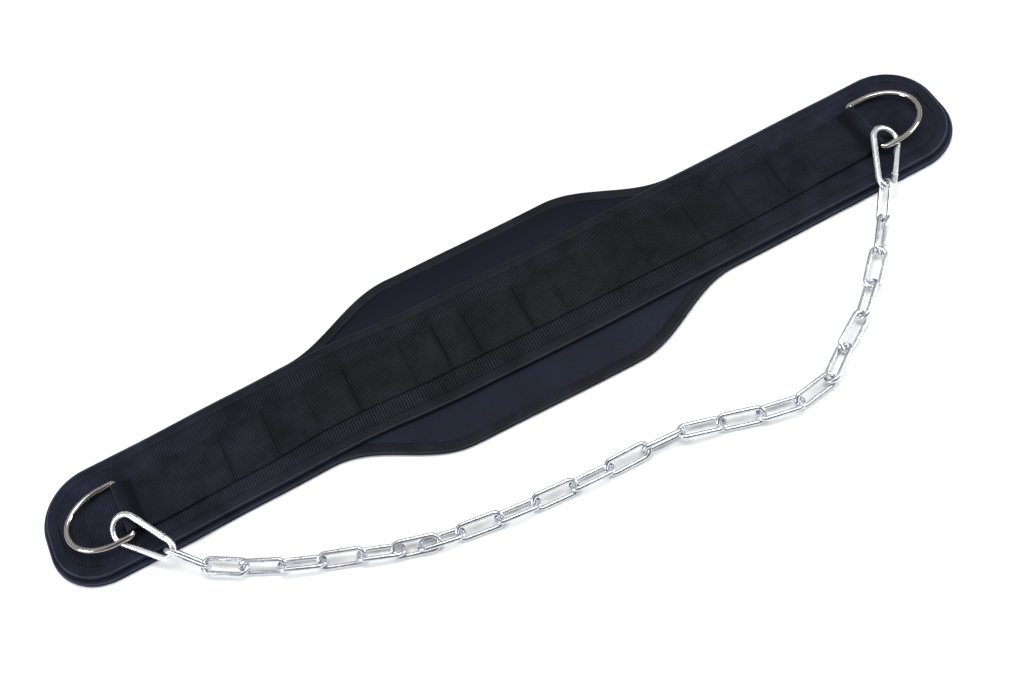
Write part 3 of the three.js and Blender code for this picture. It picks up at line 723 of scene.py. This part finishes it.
def strapPiece():
    line = strapRoute()
    run = np.concatenate([[0], np.cumsum(np.hypot(*np.diff(line, axis=0).T))])
    columns = int(run[-1] / strap["ribPitch"] * 4)
    piece, u, v = gridPiece("loadStrap", columns, 16)
    at = (u + 1) / 2 * run[-1]
    x, z = (np.interp(at, run, line[:, i]) for i in (0, 1))
    step = 0.4
    aheadX, aheadZ = (np.interp(at + step, run, line[:, i]) - np.interp(at - step, run, line[:, i])
                      for i in (0, 1))
    long = np.hypot(aheadX, aheadZ)
    outX, outZ = -aheadZ / long, aheadX / long
    y = v * strap["width"] / 2
    rib = strap["ribHeight"] * (0.5 * np.cos(2 * math.pi * at / strap["ribPitch"]))
    behind = np.minimum(x - strap["barLeft"], strap["barRight"] - x)
    upper = smoothstep((z - (strap["floor"] + strap["layer"])) / 0.8) * smoothstep((behind - 12) / 4)
    middle = (x > strap["barLeft"] + strap["tail"]) & (x < strap["barRight"] - strap["tail"])
    top = np.maximum(upper, middle)
    relief = strapRelief(x, y)
    lift = relief * top
    # Painted light and shade: lighter where the strap rises and along its loop, darker at the tacks and behind the
    # fold.
    paintedLight = strapPaintedLight["base"] + strapPaintedLight["highlightOnRises"] * lift
    unevenly = 1 + strapPaintedLight["unevenness"] * ripple(x, y, strapPaintedLight["unevenSize"], 4)
    for tack, pull in tacks.items():
        near = np.exp(-(np.abs(x - tack) / folds["tackReach"]) ** 2)
        paintedLight -= strapPaintedLight["shadeAtTacks"] * pull * unevenly * near
    paintedLight -= strapPaintedLight["shadowBehindFold"] * np.exp(-((behind - strapPaintedLight["foldAt"]) / strapPaintedLight["foldReach"]) ** 2)
    paintedLight += strapPaintedLight["highlightOnLoop"] * np.exp(-((behind - strapPaintedLight["loopAt"]) / strapPaintedLight["loopReach"]) ** 2)
    points = layOnBelt(x + outX * rib, y, z + outZ * rib + lift)
    setPoints(piece, points * mm)
    setFlatMap(piece, at, y)
    setPaintedLight(piece, paintedLight)
    applyModifier(piece, "SOLIDIFY", thickness=strap["wall"] * mm, offset=0, use_rim=True)
    smooth(piece, 70)
    return piece, run[-1]


loadStrap, strapLength = strapPiece()
finishPiece(loadStrap, strapWeave, ["strap"])
print("stage: strap sewn, length", round(strapLength))


# Stitches: one small stitch, copied along each seam and dropped on the cloth below.

stitchLook = {"long": 2.3, "wide": 0.55, "thick": 0.45, "pitch": 3.1, "reach": 0.8, "sink": 0.06,
              "bindingInset": 8.4, "edgeInset": 2.4, "edgeStart": 14, "tackPair": 1.6, "tackInset": 3}


def stitchModel():
    deselectAll()
    bpy.ops.mesh.primitive_uv_sphere_add(segments=8, ring_count=5, radius=0.5)
    stitch = newest("stitch")
    bpy.ops.transform.rotate(value=math.pi / 2, orient_axis="Y", center_override=(0, 0, 0))
    bpy.ops.transform.resize(value=(stitchLook["long"], stitchLook["wide"], stitchLook["thick"]))
    bpy.ops.object.transform_apply(location=True, rotation=True, scale=True)
    return stitch


def seamPiece(name, lines, cloths, pitch=stitchLook["pitch"], scale=1):
    trees = [BVHTree.FromObject(under, bpy.context.evaluated_depsgraph_get()) for under in cloths]
    model = stitchModel()
    shape = getPoints(model) * (scale, 1, 1)
    faces = [list(face.vertices) for face in model.data.polygons]
    bpy.data.objects.remove(model)

    def heightAt(x, y):
        hits = [tree.ray_cast(Vector((x * mm, y * mm, 0.06)), Vector((0, 0, -1)))[0] for tree in trees]
        return max((hit.z for hit in hits if hit), default=None)

    allPoints, allFaces = [], []
    for line in lines:
        line = np.asarray(line, float)
        run = np.concatenate([[0], np.cumsum(np.hypot(*np.diff(line, axis=0).T))])
        count = max(int(run[-1] / pitch), 1)
        for k in range(count):
            at = (k + 0.5) * run[-1] / count
            ends = [[np.interp(at + s, run, line[:, i]) for i in (0, 1)]
                    for s in (-stitchLook["reach"] * scale, stitchLook["reach"] * scale)]
            heights = [heightAt(*end) for end in ends]
            if None in heights:
                continue
            a, b = (Vector((end[0] * mm, end[1] * mm, height)) for end, height in zip(ends, heights))
            along = (b - a).normalized()
            across = Vector((0, 0, 1)).cross(along).normalized()
            over = along.cross(across)
            basis = np.array([along, across, over])
            middle = np.array((a + b) / 2 + over * stitchLook["sink"] * mm)
            first = len(allPoints) * len(shape)
            allPoints.append(shape * mm @ basis + middle)
            allFaces += [[first + i for i in face] for face in faces]
    mesh = bpy.data.meshes.new(name)
    mesh.from_pydata(np.concatenate(allPoints).tolist(), [], allFaces)
    piece = bpy.data.objects.new(name, mesh)
    bpy.context.scene.collection.objects.link(piece)
    smooth(piece, 80)
    return piece


def seamRound(layer):
    edge, outward, _ = outlineOf(layer, 900)
    line = edge - outward * stitchLook["bindingInset"]
    return np.concatenate([line, line[:1]])


def onStrap(points):
    x, y = np.asarray(points, float).T
    return layOnBelt(x, y, np.zeros_like(x))[:, :2]


edgeStart = stitchLook["edgeStart"]
edgeRun = np.linspace(strap["barLeft"] + edgeStart, strap["barRight"] - edgeStart, 400)
edgeSide = strap["width"] / 2 - stitchLook["edgeInset"]
tackSide = strap["width"] / 2 - stitchLook["tackInset"]
edgeSeams = [onStrap(np.stack([edgeRun, np.full_like(edgeRun, side * edgeSide)], 1)) for side in (-1, 1)]
boxLines = [onStrap(np.linspace(start, end, 24)) for start, end in boxSeams()]
tackLines = [onStrap(np.linspace((x + shift, -tackSide), (x + shift, tackSide), 12))
             for x in tacks for shift in (-stitchLook["tackPair"], stitchLook["tackPair"])]
seams = [
    ("baseBindingSeam", [seamRound(baseLayer)], [baseBinding], {}),
    ("stripBindingSeam", [seamRound(stripLayer)], [stripBinding], {}),
    ("strapEdgeSeam", edgeSeams, [loadStrap], {}),
    ("strapBoxSeam", boxLines, [loadStrap], {}),
    ("strapTackSeam", tackLines, [loadStrap], {"pitch": 2.2, "scale": 0.75}),
]
for seamName, lines, cloths, settings in seams:
    finishPiece(seamPiece(seamName, lines, cloths, **settings), threadFinish, [])
print("stage: seams stitched")


# Wire goods. They are modelled in millimetres in a frame of their own and copied to their places.

def arc(cx, cy, rx, ry, start, end, steps):
    angles = np.radians(np.linspace(start, end, steps + 1))
    return [(cx + rx * math.cos(a), cy + ry * math.sin(a)) for a in angles]


def bentWire(name, path, wire, closed):
    # A circle's points are drawn out along the path, and the line is given the wire's section.
    deselectAll()
    bpy.ops.mesh.primitive_circle_add(vertices=len(path), radius=10)
    piece = newest(name)
    setPoints(piece, [(x, y, 0) for x, y in path])
    if not closed:
        first, last = Vector((*path[0], 0)), Vector((*path[-1], 0))
        editSelect(piece, edgeTest=lambda a, b: {tuple(a), tuple(b)} == {tuple(first), tuple(last)})
        bpy.ops.mesh.delete(type="EDGE")
        bpy.ops.object.mode_set(mode="OBJECT")
    activate(piece)
    bpy.ops.object.convert(target="CURVE")
    piece.data.bevel_depth = wire / 2
    piece.data.bevel_resolution = 5
    piece.data.use_fill_caps = not closed
    bpy.ops.object.convert(target="MESH")
    piece = bpy.context.active_object
    faceOutwards(piece)
    return piece


# D-rings: welded nickel-plated wire.
ring = {"wire": 5, "inside": 52, "depth": 49.5, "corner": 3.5, "leg": 14}


def ringModel():
    half = (ring["inside"] + ring["wire"]) / 2
    corner = ring["corner"]
    path = arc(corner, corner - half, corner, corner, 180, 270, 8)
    path += arc(ring["leg"], 0, ring["depth"] - ring["leg"], half, -90, 90, 56)
    path += arc(corner, half - corner, corner, corner, 90, 180, 8)
    return bentWire("ringModel", path, ring["wire"], True)


ringShape = ringModel()
for side, sign in (("left", -1), ("right", 1)):
    cloud = nodeCloud(f"d_ring_{side}")
    centre, first, second, normal = mainAxes(cloud)
    depthAxis, barAxis = (first, second) if abs(first[0]) > abs(second[0]) else (second, first)
    depthAxis = depthAxis * math.copysign(1, depthAxis[0] * sign)
    normal = normal * math.copysign(1, normal[2])
    barAxis = np.cross(normal, depthAxis)
    spread = (cloud - centre) @ np.stack([depthAxis, barAxis, normal], 1)
    bar = centre + depthAxis * (spread[:, 0].min() + ring["wire"] / 2 * math.cos(math.pi / 8) * mm)
    bar = bar + barAxis * (spread[:, 1].max() + spread[:, 1].min()) / 2
    piece = copyTo(ringShape, f"dRing{side.title()}", framed(bar, depthAxis, barAxis, normal))
    smooth(piece, 60)
    finishPiece(piece, nickel, [f"d_ring_{side}"])
bpy.data.objects.remove(ringShape)
print("stage: rings bent")


# Carabiners: a pear of wire, its gate on a rivet.
hook = {"length": 64, "width": 29.5, "narrow": 21, "wire": 5.5, "noseSetback": 4.4, "pinSetback": 6.3,
        "gap": 0.3, "tongueWall": 1.8, "tongueLength": 4.2, "tongueRoot": 1.5, "tongueShare": 0.8,
        "pinRadius": 0.9, "headRadius": 1.75, "headHeight": 0.55,
        "headTaper": 0.72, "headBevel": 0.2, "tongueBevel": 0.5}
wideRadius = (hook["width"] - hook["wire"]) / 2
narrowRadius = (hook["narrow"] - hook["wire"]) / 2
arcsApart = hook["length"] - (hook["width"] + hook["narrow"]) / 2
taper = math.asin((wideRadius - narrowRadius) / arcsApart)
pinAt = arcsApart * math.cos(taper) - hook["pinSetback"]
gateStart = Vector((math.sin(taper), math.cos(taper), 0)) * wideRadius
gateAlong = Vector((math.cos(taper), -math.sin(taper), 0))
gateFrame = Matrix.Translation(gateStart) @ Matrix.Rotation(-taper, 4, "Z")
slotWidth = hook["tongueWall"] + 2 * hook["gap"]


def onGateSide(distance):
    point = gateStart + gateAlong * distance
    return (point.x, point.y)


def hookBody():
    degrees = math.degrees(taper)
    nose = hook["noseSetback"] - hook["gap"]
    shoulder = pinAt + hook["wire"] / 2 + hook["gap"]
    path = [onGateSide(nose)]
    path += arc(0, 0, wideRadius, wideRadius, 90 - degrees, 270 + degrees, 44)
    path += arc(arcsApart, 0, narrowRadius, narrowRadius, 270 + degrees, 450 - degrees, 30)
    path.append(onGateSide(shoulder))
    body = bentWire("hookBody", path, hook["wire"], False)
    height, wall, root = hook["wire"] * hook["tongueShare"], hook["tongueWall"], hook["tongueRoot"]
    noseLength = hook["tongueLength"] + root
    hingeLength = shoulder - pinAt + root
    tongues = [cube(nose - root + noseLength / 2, 0, 0, noseLength, height, wall),
               cube(pinAt + hingeLength / 2, 0, 0, hingeLength, height, wall),
               cylinder(height / 2, wall, x=pinAt)]
    bore = cylinder(hook["pinRadius"] + hook["gap"], hook["wire"], x=pinAt)
    for tongue in tongues + [bore]:
        tongue.data.transform(gateFrame)
    applyModifier(tongues[0], "BEVEL", width=hook["tongueBevel"], segments=3)
    combine(body, tongues, "UNION")
    combine(body, [bore], "DIFFERENCE")
    return body


def hookGate():
    length = pinAt - hook["noseSetback"]
    wire = hook["wire"]
    gate = cylinder(wire / 2, length + wire, x=(wire - length) / 2, turn=(0, math.pi / 2, 0), vertices=28)
    gate.name = "hookGate"
    plate = cube(-length / 2, 0, 0, length, wire + 1, wire + 1)
    rounded = cylinder(wire / 2, wire + 1, vertices=48)
    combine(plate, [rounded], "UNION")
    combine(gate, [plate], "INTERSECT")
    room = wire * hook["tongueShare"] / 2 + hook["gap"]
    noseRoom = 2 * (hook["tongueLength"] + hook["gap"])
    cuts = [cube(-length, 0, 0, noseRoom, 2 * wire, slotWidth),
            cube(room, 0, 0, 4 * room, 2 * wire, slotWidth),
            cylinder(hook["pinRadius"] + hook["gap"] / 2, 2 * wire)]
    combine(gate, cuts, "DIFFERENCE")
    return gate


def hookRivet():
    # A pin between two domed heads.
    inner = hook["wire"] / 2 + hook["gap"] / 2
    rivet = cylinder(hook["pinRadius"], 2 * inner + 0.2, vertices=24)
    rivet.name = "hookRivet"
    for side in (1, -1):
        head = cylinder(hook["headRadius"], hook["headHeight"], z=side * (inner + hook["headHeight"] / 2))
        editSelect(head, vertexTest=lambda p: p.z * side > inner + hook["headHeight"] / 2)
        bpy.ops.transform.resize(value=(hook["headTaper"], hook["headTaper"], 1), center_override=(0, 0, side * inner))
        bpy.ops.object.mode_set(mode="OBJECT")
        applyModifier(head, "BEVEL", width=hook["headBevel"], segments=3)
        combine(rivet, [head], "UNION")
    return rivet


hookShapes = {"body": hookBody(), "gate": hookGate(), "rivet": hookRivet()}
for side in ("left", "right"):
    joint = next(j for j in frame["joints"] if j["name"] == f"{side}_gate_swing")
    pin, axis = np.array(joint["pos_m"]), np.array(joint["axis"])
    towards = pin - nodeCloud(f"carabiner_{side}_gate").mean(axis=0)
    towards = towards - axis * towards.dot(axis)
    towards /= np.linalg.norm(towards)
    gateMatrix = framed(pin, towards, np.cross(axis, towards), axis)
    bodyMatrix = gateMatrix @ Matrix.Translation((-pinAt * mm, 0, 0)) @ Matrix.Rotation(taper, 4, "Z")
    bodyMatrix = bodyMatrix @ Matrix.Translation(-gateStart * mm)
    for part, matrix, body in (("body", bodyMatrix, "belt"), ("gate", gateMatrix, f"{side}_gate"),
                               ("rivet", gateMatrix, "belt")):
        piece = copyTo(hookShapes[part], f"carabiner{side.title()}{part.title()}", matrix)
        smooth(piece, 35)
        finishPiece(piece, brightZinc, [f"carabiner_{side}_{part}"], body)
for shape in hookShapes.values():
    bpy.data.objects.remove(shape)
print("stage: carabiners bent")


# Chain: one welded link, copied to each link's place.
link = {"length": 41.2, "width": 16, "wire": 4, "steps": 42, "sides": 18, "weldCuts": 7, "weldHalf": 2.2,
        "weldSwell": 1.07, "weldGather": 0.42}


def linkModel():
    bend = (link["width"] - link["wire"]) / 2
    reach = (link["length"] - link["width"]) / 2
    deselectAll()
    bpy.ops.mesh.primitive_torus_add(major_segments=link["steps"], minor_segments=link["sides"],
                                     major_radius=bend, minor_radius=link["wire"] / 2)
    shape = newest("linkModel")
    for side in (1, -1):
        editSelect(shape, vertexTest=lambda p: p.x * side > 0)
        bpy.ops.transform.translate(value=(side * reach, 0, 0))
        bpy.ops.object.mode_set(mode="OBJECT")
    # The butt weld swells the middle of one long side.
    editSelect(shape, edgeTest=lambda a, b: a.x * b.x < 0 and a.y > 0)
    bpy.ops.mesh.subdivide(number_cuts=link["weldCuts"])
    bpy.ops.object.mode_set(mode="OBJECT")
    points = getPoints(shape)
    inner = (np.abs(points[:, 0]) < reach - 0.5) & (points[:, 1] > 0)
    points[inner, 0] *= link["weldGather"]
    near = np.exp(-(points[:, 0] / link["weldHalf"]) ** 2) * inner * (link["weldSwell"] - 1)
    points[:, 1] += (points[:, 1] - bend) * near
    points[:, 2] *= 1 + near
    setPoints(shape, points)
    faceOutwards(shape)
    return shape


linkShape = linkModel()
linkNodes = sorted(name for name in frame["nodes"] if name.startswith("link_"))
for name in linkNodes:
    centre, along, across, _ = mainAxes(nodeCloud(name))
    normal = np.cross(along, across)
    piece = copyTo(linkShape, "chainLink" + name[5:], framed(centre, along, across, normal))
    smooth(piece, 60)
    finishPiece(piece, zinc, [name])
bpy.data.objects.remove(linkShape)
print("stage: chain linked,", len(linkNodes), "links")


# Floor, light and camera.

def plainFloor():
    deselectAll()
    bpy.ops.mesh.primitive_plane_add(size=30, location=(0, 0, -0.0003))
    floor = newest("floor")
    # Matt white paint gives an even ground with soft shadows and no reflections.
    floor.data.materials.append(newMaterial("paintedFloor", Base_Color=linear("fafafa"), Roughness=0.7)[0])


def softLight(name, place, towards, size, power, colour):
    light = bpy.data.lights.new(name, "AREA")
    light.shape = "RECTANGLE"
    light.size, light.size_y = size
    light.energy = power
    light.color = colour
    holder = bpy.data.objects.new(name, light)
    bpy.context.scene.collection.objects.link(holder)
    holder.location = place
    holder.rotation_euler = (Vector(towards) - Vector(place)).to_track_quat("-Z", "Y").to_euler()


studio = {"low": "484e59", "high": "ffffff", "greyBelow": 0.1, "whiteAbove": 0.6,
          "darkSide": (-0.09, -0.52, 0.85), "dimmest": 0.12, "level": 0.62}


def paleWorld():
    # Bright above, and grey low down on the camera's side, as in a studio.
    world = bpy.data.worlds.new("studioWorld")
    bpy.context.scene.world = world
    world.use_nodes = True
    tree = world.node_tree
    towards = addNode(tree, "TexCoord").outputs["Generated"]
    height = addNode(tree, "SeparateXYZ", {0: towards}).outputs["Z"]
    rise = addNode(tree, "MapRange", {
        "From Min": studio["greyBelow"], "From Max": studio["whiteAbove"], "Value": height})
    colour = addNode(tree, "ValToRGB", {"stops": [(0, studio["low"]), (1, studio["high"])], "Fac": rise})
    # The photographer's side of the room is dark.
    facing = addNode(tree, "VectorMath", {"operation": "DOT_PRODUCT", 0: towards,
                                          1: studio["darkSide"]}).outputs["Value"]
    dim = addNode(tree, "MapRange", {
        "From Min": 0.8, "From Max": 0.97, "To Min": 1, "To Max": studio["dimmest"], "Value": facing})
    level = addNode(tree, "Math", {"operation": "MULTIPLY", 0: dim, 1: studio["level"]})
    background = tree.nodes["Background"]
    tree.links.new(colour.outputs["Color"], background.inputs["Color"])
    tree.links.new(level.outputs[0], background.inputs["Strength"])


plainFloor()
paleWorld()
softLight("overheadLight", (0.2, 0.1, 1.7), (0, -0.05, 0), (1.6, 0.8), 20, (1, 1, 1))
softLight("rightLight", (1.4, -0.5, 0.62), (0.2, -0.05, 0), (0.5, 0.4), 10, (1, 1, 1))
softLight("leftLight", (-1.35, -0.3, 0.6), (-0.2, -0.05, 0), (0.5, 0.4), 10, (0.95, 0.97, 1))

cameraLook = {"lens": 48.19, "azimuth": 9.84, "elevation": 58, "roll": 18.49, "distance": 1.1549,
              "target": (-0.0071, -0.02207, 0)}
azimuth, elevation, roll = (math.radians(cameraLook[key]) for key in ("azimuth", "elevation", "roll"))
forward = Vector((math.sin(azimuth) * math.cos(elevation), math.cos(azimuth) * math.cos(elevation),
                  -math.sin(elevation)))
level = Vector((math.cos(azimuth), -math.sin(azimuth), 0))
upward = level.cross(forward)
camera = bpy.data.objects.new("camera", bpy.data.cameras.new("camera"))
bpy.context.scene.collection.objects.link(camera)
camera.data.lens = cameraLook["lens"]
camera.data.sensor_width = 36
camera.matrix_world = framed(
    Vector(cameraLook["target"]) - forward * cameraLook["distance"],
    level * math.cos(roll) - upward * math.sin(roll),
    level * math.sin(roll) + upward * math.cos(roll),
    -forward)
bpy.context.scene.camera = camera
bpy.context.scene.view_settings.view_transform = "Standard"
bpy.context.scene.view_settings.look = "None"
print("stage: light and camera set")
